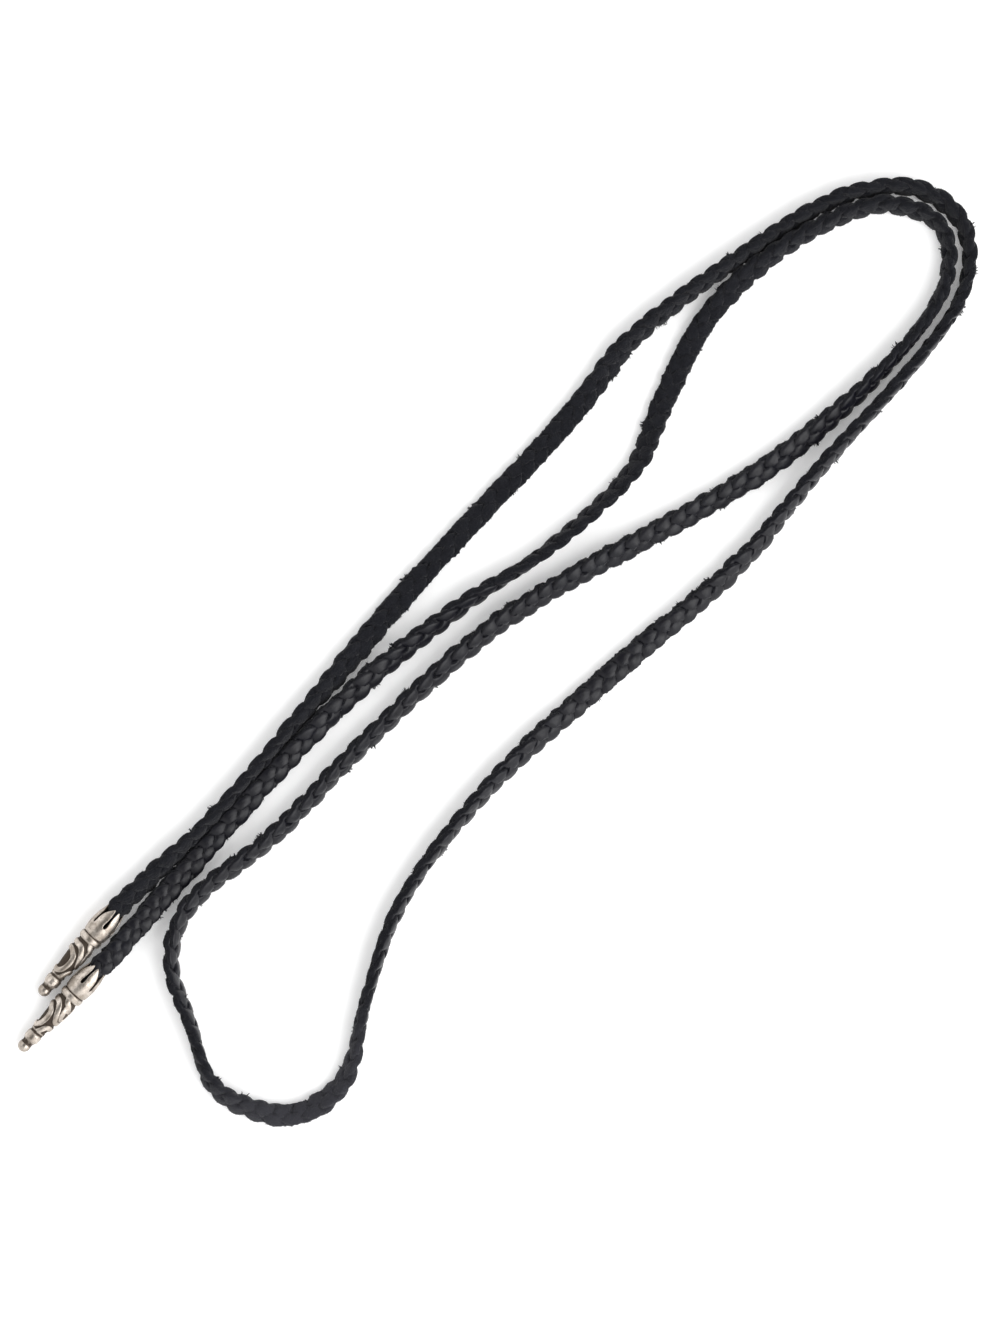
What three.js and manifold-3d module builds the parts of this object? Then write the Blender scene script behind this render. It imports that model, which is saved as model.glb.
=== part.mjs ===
// Braided leather lace necklace with a cast silver tip on each end, laid out on a flat surface.
// Millimetres, +Z up. The lace rests on z = 0, its long runs follow X, and the tips point to -X.
import * as THREE from 'three';
import { mergeVertices } from 'three/addons/utils/BufferGeometryUtils.js';
import Module from 'manifold-3d';

const wasm = await Module();
wasm.setup();

// ---- Driving dimensions ----

const CORD_WIDTH = 4.6;
const CORD_THICKNESS = 2.6;
const FACE_FLAT = 2.3; // flat width in the middle of the grain and suede faces
const EDGE_FLAT = 1.1; // flat height in the middle of each edge
const STEP_LENGTH = 14; // longest step along a straight run
const FEWEST_STEPS = 2; // steps between two route points in a bend

const TIP_TILT = 2.8; // degrees, nose down, so that it rests on its mouth and its belly
const TIP_SIDES = 32;
const BORE_RADIUS = 1.8;
const BORE_DEPTH = 5.5;

const SQUEEZED_RADIUS = 1.5; // the cord's end, pressed round to enter the tip
const SQUEEZED_REACH = 5.1; // how far it goes into the bore
const SQUEEZED_ROOT = 2.2; // how far it is rooted in the flat cord
const STAND_OFF = 1.8; // from the flat cord's end to the mouth plane
const SQUEEZED_SIDES = 16;

const LEAVES = 3; // round the mouth, each with a slit up its middle
const CUTTER_REACH = 3.4; // from the tip's axis to outside it

// Route of the cord's centreline from the upper tip to the lower one.
// roll: degrees, 0 with the grain face up, growing as the grain turns to the left of travel.
// lift: height of the cord's underside above the surface, where it climbs into a tip.
const ROUTE = table(['x', 'y', 'roll', 'lift'], [
  // from the upper tip up the first run
  [-92.75, 17.55, 122, 0.7],
  [-70.0, 20.05, 98, 0],
  [-46.0, 23.4, 112, 0],
  [-8.0, 28.9, 180, 0],
  [40.0, 34.9, 180, 0],
  [58.0, 38.6, 133, 0],
  [84.0, 37.45, 119, 0],
  [110.0, 33.1, 112, 0],
  // outer bend
  [121.7, 24.9, 120, 0],
  [123.9, 13.5, 115, 0],
  [115.4, 3.35, 96, 0],
  // second run, out along the open side
  [68.0, -5.7, 68, 0],
  [46.0, -9.5, 48, 0],
  [14.0, -9.9, 4, 0],
  [-22.0, -11.7, 67, 0],
  [-49.5, -18.1, 79, 0],
  [-67.0, -28.3, 84, 0],
  // free loop
  [-81.0, -37.9, 128, 0],
  [-93.0, -36.7, 178, 0],
  [-101.4, -23.0, 236, 0],
  [-96.8, -9.0, 284, 0],
  [-92.4, 2.0, 288, 0],
  [-83.0, 8.6, 314, 0],
  // third run, back up between the other two
  [-60.0, 8.7, 318, 0],
  [-32.0, 11.4, 320, 0],
  [2.0, 12.2, 329, 0],
  [66.0, 1.4, 339, 0],
  [103.0, 3.2, 304, 0],
  // inner bend
  [115.3, 8.05, 272, 0],
  [120.4, 16.5, 246, 0],
  [114.3, 27.0, 241, 0],
  [94.0, 32.95, 243, 0],
  // fourth run, down to the lower tip
  [74.0, 32.5, 190, 0],
  [55.0, 24.9, 174, 0],
  [43.0, 18.8, 130, 0],
  [20.0, 17.2, 96, 0],
  [-2.0, 19.7, 50, 0],
  [-30.0, 20.4, 32, 0],
  [-78.0, 14.6, 14, 0],
  [-102.85, 10.65, 12, 1.45],
]);

// Outside of a tip. along: distance from the mouth plane towards the nose.
const TIP_PROFILE = table(['along', 'radius'], [
  [-1.2, 2.02],
  [0.0, 2.15],
  [1.4, 2.5],
  [3.0, 2.68],
  [4.4, 2.66],
  [5.9, 2.46],
  [6.15, 2.22],
  [6.4, 2.48],
  [7.3, 2.46],
  [7.5, 2.3],
  [10.5, 2.36],
  [13.3, 2.08],
  [16.4, 1.7],
  [17.1, 1.38],
  [17.65, 1.62],
  [18.85, 1.57],
  [19.3, 1.1],
  [19.75, 1.06],
  [20.3, 1.2],
  [20.9, 1.27],
  [21.45, 1.08],
  [21.85, 0.66],
]);
const TIP_LENGTH = 22.03;

// Half of the notch between two leaves. along: distance from the mouth plane towards the nose.
const NOTCH_OUTLINE = table(['along', 'half'], [
  [-1.5, 1.6],
  [-1.2, 1.36],
  [-0.6, 1.14],
  [0.0, 0.85],
  [1.0, 0.42],
  [2.0, 0.3],
  [2.9, 0.32],
  [3.4, 0.2],
  [3.6, 0.0],
]);

// Half of the slit up the middle of a leaf.
const SLIT_OUTLINE = table(['along', 'half'], [
  [-1.5, 0.3],
  [1.0, 0.25],
  [1.8, 0.28],
  [2.5, 0.4],
  [3.0, 0.32],
  [3.3, 0.0],
]);

// heading: degrees from +X, seen from above. aside: how far the mouth lies to the right of the
// cord's end. spin: degrees that the leaves are turned about the tip's axis, to the right.
const TIPS = table(['name', 'heading', 'aside', 'spin'], [
  ['upper', 187.9, 0.0, -14],
  ['lower', 186.2, 0.35, 10],
]);

// ---- Helpers ----

function table(columns, rows) {
  return rows.map((row) => Object.fromEntries(columns.map((name, i) => [name, row[i]])));
}

function toManifold(geometry) {
  const bare = geometry.clone();
  bare.deleteAttribute('normal');
  bare.deleteAttribute('uv');
  const merged = mergeVertices(bare, 1e-4);
  return new wasm.Manifold(new wasm.Mesh({
    numProp: 3,
    vertProperties: merged.attributes.position.array,
    triVerts: merged.index.array,
  }));
}

function toGeometry(solid) {
  const mesh = solid.getMesh();
  const geometry = new THREE.BufferGeometry();
  geometry.setAttribute('position', new THREE.BufferAttribute(mesh.vertProperties, 3));
  geometry.setIndex(new THREE.BufferAttribute(mesh.triVerts, 1));
  geometry.computeVertexNormals();
  return geometry;
}

function namedMesh(name, geometry, material) {
  const mesh = new THREE.Mesh(geometry, material);
  mesh.name = name;
  return mesh;
}

// ---- Section and route of the cord ----

const SECTION = [
  [FACE_FLAT / 2, -CORD_THICKNESS / 2],
  [CORD_WIDTH / 2, -EDGE_FLAT / 2],
  [CORD_WIDTH / 2, EDGE_FLAT / 2],
  [FACE_FLAT / 2, CORD_THICKNESS / 2],
  [-FACE_FLAT / 2, CORD_THICKNESS / 2],
  [-CORD_WIDTH / 2, EDGE_FLAT / 2],
  [-CORD_WIDTH / 2, -EDGE_FLAT / 2],
  [-FACE_FLAT / 2, -CORD_THICKNESS / 2],
];

// Height of the cord's centre above its lowest corner when it is rolled by an angle in radians.
function restingHeight(roll) {
  return Math.max(...SECTION.map(([x, y]) => x * Math.sin(roll) - y * Math.cos(roll)));
}

// The cord's centreline. It gives its own stations, closer in the bends, and its own roll.
class LaceRoute extends THREE.Curve {
  constructor(rows) {
    super();
    this.rows = rows;
    const flat = rows.map((row) => new THREE.Vector3(row.x, row.y, 0));
    this.plan = new THREE.CatmullRomCurve3(flat, false, 'centripetal');
    this.stations = this.placeStations(flat);
  }

  placeStations(flat) {
    const stations = [];
    for (let span = 0; span < flat.length - 1; span += 1) {
      const length = flat[span].distanceTo(flat[span + 1]);
      const steps = Math.max(FEWEST_STEPS, Math.round(length / STEP_LENGTH));
      for (let step = 0; step < steps; step += 1) {
        stations.push(this.station(span, step / steps));
      }
    }
    stations.push(this.station(flat.length - 2, 1));
    return stations;
  }

  station(span, part) {
    const from = this.rows[span];
    const to = this.rows[span + 1];
    const roll = THREE.MathUtils.degToRad(THREE.MathUtils.lerp(from.roll, to.roll, part));
    const lift = THREE.MathUtils.lerp(from.lift, to.lift, part);
    const u = (span + part) / (this.rows.length - 1);
    const centre = this.plan.getPoint(u);
    centre.z = restingHeight(roll) + lift;
    const tangent = this.plan.getTangent(u);
    return { centre, tangent, roll };
  }

  getPoint(t) {
    const place = t * (this.stations.length - 1);
    const index = Math.min(Math.floor(place), this.stations.length - 2);
    const from = this.stations[index].centre;
    return from.clone().lerp(this.stations[index + 1].centre, place - index);
  }

  getSpacedPoints() {
    return this.stations.map((station) => station.centre.clone());
  }

  computeFrenetFrames() {
    const frames = { tangents: [], normals: [], binormals: [] };
    for (const { tangent, roll } of this.stations) {
      const left = new THREE.Vector3(-tangent.y, tangent.x, 0).normalize();
      const normal = left.applyAxisAngle(tangent, -roll); // the grain turns to the left
      frames.tangents.push(tangent);
      frames.normals.push(normal);
      frames.binormals.push(tangent.clone().cross(normal));
    }
    return frames;
  }
}

const route = new LaceRoute(ROUTE);

// ---- Placing of the tips ----

// A tip's own frame: its axis is Y, the mouth plane is y = 0, the nose is at +Y and Z is up.
function tipFrame({ heading, aside }, end) {
  const turn = THREE.MathUtils.degToRad(heading);
  const tilt = THREE.MathUtils.degToRad(TIP_TILT);
  const ahead = new THREE.Vector3(Math.cos(turn), Math.sin(turn), 0);
  const right = new THREE.Vector3(Math.sin(turn), -Math.cos(turn), 0);
  const axis = ahead.clone().multiplyScalar(Math.cos(tilt));
  axis.z = -Math.sin(tilt);
  const up = right.clone().cross(axis);
  const mouth = new THREE.Vector3(end.x, end.y, mouthHeight(tilt));
  mouth.addScaledVector(ahead, STAND_OFF).addScaledVector(right, aside);
  return new THREE.Matrix4().makeBasis(right, axis, up).setPosition(mouth);
}

// Height of the mouth's centre when the lowest ring of the profile touches z = 0.
function mouthHeight(tilt) {
  const heights = TIP_PROFILE.map(
    ({ along, radius }) => along * Math.sin(tilt) + radius * Math.cos(tilt),
  );
  return Math.max(...heights);
}

const [UPPER, LOWER] = TIPS;
const TIP_FRAMES = [tipFrame(UPPER, ROUTE[0]), tipFrame(LOWER, ROUTE[ROUTE.length - 1])];

// ---- Braided cord: flat tube with a round, squeezed end for each tip ----

function makeCord() {
  const shape = new THREE.Shape(SECTION.map(([x, y]) => new THREE.Vector2(x, y)));
  const steps = route.stations.length - 1;
  const tube = new THREE.ExtrudeGeometry(shape, { steps, extrudePath: route });
  let cord = toManifold(tube);
  for (const frame of TIP_FRAMES) {
    const root = -(STAND_OFF + SQUEEZED_ROOT);
    const length = SQUEEZED_REACH - root;
    const end = new THREE.CylinderGeometry(
      SQUEEZED_RADIUS, SQUEEZED_RADIUS, length, SQUEEZED_SIDES,
    );
    end.translate(0, root + length / 2, 0);
    end.applyMatrix4(frame);
    cord = cord.add(toManifold(end));
  }
  return toGeometry(cord);
}

// ---- Cast silver tip: turned outside, round bore, three pointed leaves round the mouth ----

// A prism that reaches from the tip's axis out through its wall, as wide as an outline says.
function makeCutter(outline, turn) {
  const left = outline.map(({ along, half }) => new THREE.Vector2(-half, along));
  const right = outline.slice(0, -1).map(({ along, half }) => new THREE.Vector2(half, along));
  const shape = new THREE.Shape([...left, ...right.reverse()]);
  const cutter = new THREE.ExtrudeGeometry(shape, { depth: CUTTER_REACH, bevelEnabled: false });
  cutter.rotateY(turn);
  return toManifold(cutter);
}

function makeTip({ spin }) {
  const mouth = TIP_PROFILE[0].along;
  const outside = TIP_PROFILE.map(({ along, radius }) => new THREE.Vector2(radius, along));
  const profile = [
    new THREE.Vector2(0, BORE_DEPTH),
    new THREE.Vector2(BORE_RADIUS, BORE_DEPTH),
    new THREE.Vector2(BORE_RADIUS, mouth),
    ...outside,
    new THREE.Vector2(0, TIP_LENGTH),
  ];
  let tip = toManifold(new THREE.LatheGeometry(profile, TIP_SIDES));
  const leafTurn = (2 * Math.PI) / LEAVES;
  for (let leaf = 0; leaf < LEAVES; leaf += 1) {
    const middle = THREE.MathUtils.degToRad(spin) + leaf * leafTurn;
    tip = tip.subtract(makeCutter(SLIT_OUTLINE, middle));
    tip = tip.subtract(makeCutter(NOTCH_OUTLINE, middle + leafTurn / 2));
  }
  return toGeometry(tip);
}

// ---- Assembly ----

const leather = new THREE.MeshStandardMaterial({ color: 0x1c1a1d, roughness: 0.62, metalness: 0 });
const silver = new THREE.MeshStandardMaterial({ color: 0xc9c2b4, roughness: 0.3, metalness: 1 });

const necklace = new THREE.Group();
necklace.add(namedMesh('braided_cord', makeCord(), leather));

TIPS.forEach((row, index) => {
  const tip = namedMesh(`silver_tip_${row.name}`, makeTip(row), silver.clone());
  tip.applyMatrix4(TIP_FRAMES[index]);
  necklace.add(tip);
});

export default necklace;
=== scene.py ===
"""The looks of a braided leather necklace: one long lace with a cast silver tip on each end, laid in
four close runs on a pale floor.

The lace is a flat plait of three leather strips, grain on one face and suede on the other. It follows
the CAD cord's route. Each tip is cast in one piece: three slit leaves round the mouth, a ring,
scrolls, a neck ring and a round nose. Sizes are in metres where nothing else is said, in the frame's
own axes: the long runs follow X and +Z is up.
"""

import math

import bpy
import numpy as np
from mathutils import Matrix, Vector


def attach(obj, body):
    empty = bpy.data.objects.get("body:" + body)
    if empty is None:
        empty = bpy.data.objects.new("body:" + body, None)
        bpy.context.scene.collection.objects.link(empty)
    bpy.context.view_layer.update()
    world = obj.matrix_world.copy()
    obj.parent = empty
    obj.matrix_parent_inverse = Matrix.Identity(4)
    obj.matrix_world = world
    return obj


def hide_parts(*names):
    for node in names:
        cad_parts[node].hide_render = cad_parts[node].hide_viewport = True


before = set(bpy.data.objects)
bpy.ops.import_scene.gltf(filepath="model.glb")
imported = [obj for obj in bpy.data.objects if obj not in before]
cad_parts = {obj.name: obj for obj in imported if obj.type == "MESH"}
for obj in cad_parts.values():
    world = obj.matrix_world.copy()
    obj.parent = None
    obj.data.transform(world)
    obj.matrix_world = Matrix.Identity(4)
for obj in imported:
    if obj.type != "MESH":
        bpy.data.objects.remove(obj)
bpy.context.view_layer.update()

MM = 0.001
TINY = 0.01  # keeps a division or a cross product clear of 0

# ---- Route of the lace: the CAD cord's, with small changes of place and roll ----

# x, y, roll in degrees (0 with the grain up, growing as the grain turns to the left of travel), lift
ROUTE = [
    # from the upper tip up the first run
    (-0.09275, 0.01755, 140, 0.0007),
    (-0.0840, 0.01812, 138, 0.0003),
    (-0.0700, 0.01893, 104, 0),
    (-0.0460, 0.02250, 112, 0),
    (-0.0080, 0.02890, 180, 0),
    (0.0400, 0.03490, 180, 0),
    (0.0580, 0.03860, 122, 0),
    (0.0840, 0.03745, 119, 0),
    (0.1100, 0.03310, 112, 0),
    # outer bend
    (0.1217, 0.02490, 120, 0),
    (0.1239, 0.01350, 115, 0),
    (0.1154, 0.00335, 96, 0),
    # second run, out along the open side
    (0.0680, -0.00570, 68, 0),
    (0.0460, -0.00950, 48, 0),
    (0.0140, -0.00990, 4, 0),
    (-0.0220, -0.01170, 67, 0),
    (-0.0495, -0.01810, 79, 0),
    (-0.0670, -0.02830, 84, 0),
    # free loop
    (-0.0810, -0.03790, 128, 0),
    (-0.0930, -0.03670, 178, 0),
    (-0.1014, -0.02300, 236, 0),
    (-0.0968, -0.00900, 284, 0),
    (-0.0924, 0.00200, 288, 0),
    (-0.0830, 0.00860, 304, 0),
    # third run, back up between the other two
    (-0.0600, 0.00870, 304, 0),
    (-0.0320, 0.01140, 304, 0),
    (0.0020, 0.01220, 318, 0),
    (0.0660, 0.00140, 339, 0),
    (0.1030, 0.00320, 268, 0),
    # inner bend
    (0.1153, 0.00805, 254, 0),
    (0.1204, 0.01650, 246, 0),
    (0.1143, 0.02700, 241, 0),
    (0.0940, 0.03318, 243, 0),
    # fourth run, down to the lower tip
    (0.0740, 0.03250, 190, 0),
    (0.0550, 0.02490, 164, 0),
    (0.0430, 0.01880, 124, 0),
    (0.0200, 0.01720, 110, 0),
    (-0.0020, 0.01970, 50, 0),
    (-0.0300, 0.02040, 32, 0),
    (-0.0780, 0.01460, 14, 0),
    (-0.10285, 0.01065, 12, 0.00145),
]
CORD_WIDTH = 0.0046
CORD_THICKNESS = 0.0026
# the CAD cord's corners, half way round: to the side and up from its middle
CORD_CORNERS = [(CORD_WIDTH / 4, CORD_THICKNESS / 2), (CORD_WIDTH / 2, CORD_THICKNESS * 0.21)]

# ---- The silver tips, in millimetres, as the CAD has them ----

# from the mouth plane towards the nose, and the outer radius there
TIP_PROFILE = [(-1.25, 1.96), (0.0, 2.15), (1.4, 2.50), (3.0, 2.68), (4.4, 2.66), (5.8, 2.48)]
TIP_PROFILE += [(6.12, 2.18), (6.42, 2.50), (7.28, 2.48), (7.5, 2.30)]
TIP_PROFILE += [(10.5, 2.36), (13.3, 2.08), (16.4, 1.70), (17.1, 1.34)]
TIP_PROFILE += [(17.65, 1.63), (18.85, 1.58), (19.3, 1.24), (19.8, 1.12), (20.3, 1.18)]
NOSE_MIDDLE = 20.75
NOSE_RADIUS = 1.28
BORE_RADIUS = 1.8
BORE_DEPTH = 5.5
LEAVES = 3
# from the mouth plane towards the nose, and half the notch between two leaves there
NOTCH = [(-1.3, 1.85), (-1.0, 1.5), (-0.5, 1.12), (0.0, 0.78)]
NOTCH += [(0.5, 0.54), (1.0, 0.40), (2.0, 0.28), (3.0, 0.30)]
NOTCH_END = 3.6
# the same for the slit up the middle of a leaf
SLIT = [(-1.3, 0.62), (-0.9, 0.42), (-0.4, 0.30), (0.4, 0.24)]
SLIT += [(1.4, 0.25), (2.1, 0.35), (2.6, 0.41), (3.0, 0.34)]
SLIT_END = 3.36

TIP_TILT = math.radians(2.8)
STAND_OFF = 0.0018  # from the flat cord's end to the mouth plane
SQUEEZED_REACH = 0.0051  # how far the cord's end goes into the tip's bore
# heading in degrees from +X, mouth's offset to the right, turn of the leaves to the left
TIPS = {
    "upper": (187.9, 0.0, 14),
    "lower": (186.2, 0.00035, -10),
}

SEED = 20
FLOOR_CLEARANCE = 0.00002  # of the lowest points of the leather

# ---- Small helpers ----


def smoothed(values, spread):
    """Rows of samples, smoothed along their first axis by a bell of that many samples."""
    reach = int(3 * spread) + 1
    bell = np.exp(-0.5 * (np.arange(-reach, reach + 1) / spread) ** 2)
    bell /= bell.sum()
    columns = values.reshape(len(values), -1)
    before = 2 * columns[0] - columns[reach:0:-1]
    after = 2 * columns[-1] - columns[-2 : -reach - 2 : -1]
    padded = np.vstack([before, columns, after])
    done = np.stack([np.convolve(padded[:, k], bell, "valid") for k in range(columns.shape[1])], 1)
    return done.reshape(values.shape)


def wander(count, step, size, generator):
    """Smooth random samples around 0, with bumps about step samples long."""
    knots = generator.standard_normal(int(count / step) + 4)
    at = np.arange(count) / step
    return size * smoothed(np.interp(at, np.arange(len(knots)), knots), step / 3)


def unit(vectors):
    """The same directions, each of length 1."""
    return vectors / np.linalg.norm(vectors, axis=-1)[..., None]


def ease(share):
    """0 below 0 and 1 above 1, with a soft step between."""
    share = np.clip(share, 0, 1)
    return share * share * (3 - 2 * share)


def mesh_object(name, vertices, faces, smooth=True):
    """A new piece in the scene."""
    mesh = bpy.data.meshes.new(name)
    mesh.from_pydata(vertices.tolist(), [], faces)
    mesh.polygons.foreach_set("use_smooth", [smooth] * len(mesh.polygons))
    mesh.update()
    piece = bpy.data.objects.new(name, mesh)
    bpy.context.scene.collection.objects.link(piece)
    return piece


def set_attribute(piece, name, values):
    """A number for each vertex, which the piece's materials read by that name."""
    layer = piece.data.attributes.new(name, "FLOAT", "POINT")
    layer.data.foreach_set("value", np.asarray(values, np.float32).ravel())


# ---- Camera: straight above, turned so that the runs rise to the right ----

VIEW_CENTRE = Vector((-0.00372, 0.00547, 0.0015))
VIEW_WIDTH = 0.200
VIEW_HEIGHT = VIEW_WIDTH * 1333 / 1000
VIEW_TURN = math.radians(-40)
CAMERA_DISTANCE = 0.95
SENSOR = 36.0


def make_camera():
    """A long lens straight above the necklace."""
    data = bpy.data.cameras.new("camera")
    data.sensor_width = SENSOR
    data.lens = SENSOR * CAMERA_DISTANCE / VIEW_HEIGHT
    data.clip_start = 0.01
    data.clip_end = 20
    camera = bpy.data.objects.new("camera", data)
    camera.location = VIEW_CENTRE + Vector((0, 0, CAMERA_DISTANCE))
    camera.rotation_euler = (0, 0, VIEW_TURN)
    bpy.context.scene.collection.objects.link(camera)
    bpy.context.scene.camera = camera


make_camera()

# ---- Centreline, roll and lift at fine, even steps ----

FINE_STEP = 0.00041
MOUTH_REACH = 0.0005  # how far before a tip's mouth its own axis leads the lace
END_POINTS = 12  # on that axis, inside and before the mouth
LINE_SPREAD = 3  # samples over which the centreline is smoothed
ROLL_SPREAD = 14

# the tips' fine tables, in millimetres
PROFILE_ENDS = (-1.6, 21.6)
PROFILE_STEP = 0.02
PROFILE_SPREAD = 3  # samples over which a tip's turned corners are rounded
OPENING_START = 0.6  # before its first row
OPENING_SPREAD = 6


def tip_frame(place):
    """A tip's mouth and its ways to the left, up and towards the nose."""
    heading, aside, _ = TIPS[place]
    end = ROUTE[0] if place == "upper" else ROUTE[-1]
    heading = math.radians(heading)
    ahead = np.array([math.cos(heading), math.sin(heading), 0.0])
    left = np.array([-ahead[1], ahead[0], 0.0])
    axis = ahead * math.cos(TIP_TILT) - np.array([0.0, 0.0, math.sin(TIP_TILT)])
    height = max(s * math.sin(TIP_TILT) + r * math.cos(TIP_TILT) for s, r in TIP_PROFILE) * MM
    mouth = np.array([end[0], end[1], height]) + ahead * STAND_OFF - left * aside
    return mouth, left, np.cross(axis, left), axis


TIP_FRAMES = {place: tip_frame(place) for place in TIPS}


def tip_radius(along):
    """The plain turned radius, with its corners a little rounded."""
    fine = np.arange(*PROFILE_ENDS, PROFILE_STEP)
    rows = np.array(TIP_PROFILE)
    radius = smoothed(np.interp(fine, rows[:, 0], rows[:, 1]), PROFILE_SPREAD)
    return np.interp(along, fine, radius)


def opening(along, rows, end):
    """Half the width of an opening in the mouth's rim, and below 0 beyond its round end."""
    fine = np.arange(rows[0][0] - OPENING_START, end, PROFILE_STEP)
    table = np.array(rows)
    plain = np.interp(fine, table[:, 0], table[:, 1])
    half = np.interp(along, fine, smoothed(plain, OPENING_SPREAD))
    last, width = rows[-1]
    share = np.maximum(along - last, 0) / (end - last)
    return np.where(share < 1, half * np.sqrt(np.maximum(1 - share**2, 0)), width * (1 - share))


def room(turn, along):
    """How far a place on the mouth's rim lies inside a notch or a slit; below 0 it is in a leaf."""
    leaf = 2 * math.pi / LEAVES
    from_middle = np.abs((turn + leaf / 2) % leaf - leaf / 2)
    radius = tip_radius(along)
    notch = opening(along, NOTCH, NOTCH_END) - (leaf / 2 - from_middle) * radius
    slit = opening(along, SLIT, SLIT_END) - from_middle * radius
    return notch, slit


def spline_point(before, start, end, after, part):
    """A point of the centripetal Catmull-Rom curve from start to end."""
    first, middle, last = (
        np.linalg.norm(b - a) ** 0.5 for a, b in ((before, start), (start, end), (end, after))
    )
    leaving = (start - before) / first - (end - before) / (first + middle) + (end - start) / middle
    reaching = (end - start) / middle - (after - start) / (middle + last) + (after - end) / last
    leaving, reaching = leaving * middle, reaching * middle
    square, cube = part * part, part * part * part
    return (
        (2 * cube - 3 * square + 1) * start
        + (cube - 2 * square + part) * leaving
        + (3 * square - 2 * cube) * end
        + (cube - square) * reaching
    )


def resting_height(roll):
    """Height of the flat cord's centre over its lowest corner."""
    return max(x * abs(math.sin(roll)) + y * abs(math.cos(roll)) for x, y in CORD_CORNERS)


def route_samples():
    """Rows of x, y, z, roll and lift along the route, close together."""
    plan = [np.array(row[:2]) for row in ROUTE]
    plan = [2 * plan[0] - plan[1], *plan, 2 * plan[-1] - plan[-2]]
    rows = []
    for span in range(len(ROUTE) - 1):
        here, there = ROUTE[span], ROUTE[span + 1]
        steps = int(math.dist(here[:2], there[:2]) / FINE_STEP) + 1
        last = span == len(ROUTE) - 2
        for part in np.arange(steps + last) / steps:
            x, y = spline_point(*plan[span : span + 4], part)
            roll = math.radians(here[2] + (there[2] - here[2]) * part)
            lift = here[3] + (there[3] - here[3]) * part
            rows.append((x, y, resting_height(roll) + lift, roll, lift))
    return np.array(rows)


def whole_line():
    """Distance along, and rows of x, y, z, roll and lift, from one tip's bore to the other's."""
    rows = route_samples()
    reaches = np.linspace(SQUEEZED_REACH, -MOUTH_REACH, END_POINTS)
    ends = {}
    for place, row in (("upper", rows[0]), ("lower", rows[-1])):
        mouth, _, _, axis = TIP_FRAMES[place]
        ends[place] = np.array([(*(mouth + axis * r), row[3], row[4]) for r in reaches])
    rows = np.vstack([ends["upper"], rows, ends["lower"][::-1]])
    along = np.concatenate([[0], np.cumsum(np.linalg.norm(np.diff(rows[:, :3], axis=0), axis=1))])
    at = np.linspace(0, along[-1], int(along[-1] / FINE_STEP) + 1)
    even = np.stack([np.interp(at, along, rows[:, k]) for k in range(rows.shape[1])], axis=1)
    even[:, :3] = smoothed(even[:, :3], LINE_SPREAD)
    even[:, 3] = smoothed(even[:, 3], ROLL_SPREAD)
    return at, even


ALONG, LINE = whole_line()
COUNT = len(ALONG)
TOTAL = ALONG[-1]
CENTRES = LINE[:, :3]
LIFTS = LINE[:, 4]
TANGENTS = unit(np.gradient(CENTRES, axis=0))
LEFTS = unit(np.cross([0.0, 0.0, 1.0], TANGENTS))
RISES = np.cross(TANGENTS, LEFTS)
COS_ROLL = np.cos(LINE[:, 3])[:, None]
SIN_ROLL = np.sin(LINE[:, 3])[:, None]
ACROSS = LEFTS * COS_ROLL - RISES * SIN_ROLL  # along the plait's width
GRAIN_OUT = RISES * COS_ROLL + LEFTS * SIN_ROLL  # out of its grain face

# ---- The plait: three strips that pass over and under each other ----

STRIPS = 3
LOBE_PITCH = 0.0040  # from one lobe to the next in a column
LOBE_PITCH_AT_TIPS = 0.0035
TIGHT_REACH = 0.060  # how far from a tip the lobes are closer
SWING = 0.00091  # of a strip's middle to each side
SQUARENESS = 0.18  # how sharply a strip turns back at the edge
HUMP = 0.00042  # of a strip over and under the others
PLATEAU = 1.0  # how flat the top of that hump is
BANK = math.radians(11.7)  # of a strip on its way over and under the others
STRIP_WIDTH = 0.00262
LOBE_SWELL = 0.02  # how much wider a strip is in the middle of a lobe
STRIP_THICKNESS = 0.00170
EDGE_THINNING = 0.12  # how much thinner a strip is where it turns back
EDGE_ROUGHNESS = 0.085  # of the cut edges, as a share of half the width
TOP_SIDES = 8  # section points over the grain, with the two edges
UNDER_SIDES = 5  # section points under the flesh, between the edges
SIDE_BULGE = 0.72  # a power: the smaller, the squarer the strip's section is to its sides
FACE_BULGE = 0.36  # and to its faces
GRAIN_RISE = 0.3  # the grain begins at points higher than this on the section's circle
SQUEEZE_REACH = 0.0019  # over which the plait narrows to enter a tip
SQUEEZE_END = 0.0004  # inside the mouth, where it is narrow
HELD_SWING = 0.00078  # of a strip's middle inside a tip
HELD_WIDTH = 0.00150
# how uneven the plait is: samples from bump to bump, and their size
UNEVEN = {
    "pitch": (60, 0.10),
    "phase": (12, 0.13),
    "swing": (20, 0.07),
    "height": (12, 0.00005),
    "bank": (14, 0.09),
    "width": (12, 0.08),
    "thickness": (10, 0.08),
}
SETTLE_REACH = 0.004  # to each side, over which the lowest point is looked for
SETTLE_START = 0.02  # from a mouth, over which the lace comes down from the tip's axis

LIT_STRETCH = (0.4645, 0.022)  # middle and half length of the stretch where the suede is painted paler: painted light, on the free loop's bottom where the light falls
LIT_SHARE = np.exp(-(((ALONG - LIT_STRETCH[0]) / LIT_STRETCH[1]) ** 4))


def uneven(kind, generator):
    """Random samples along the lace, for that kind of unevenness."""
    step, size = UNEVEN[kind]
    return wander(COUNT, step, size, generator)


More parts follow.
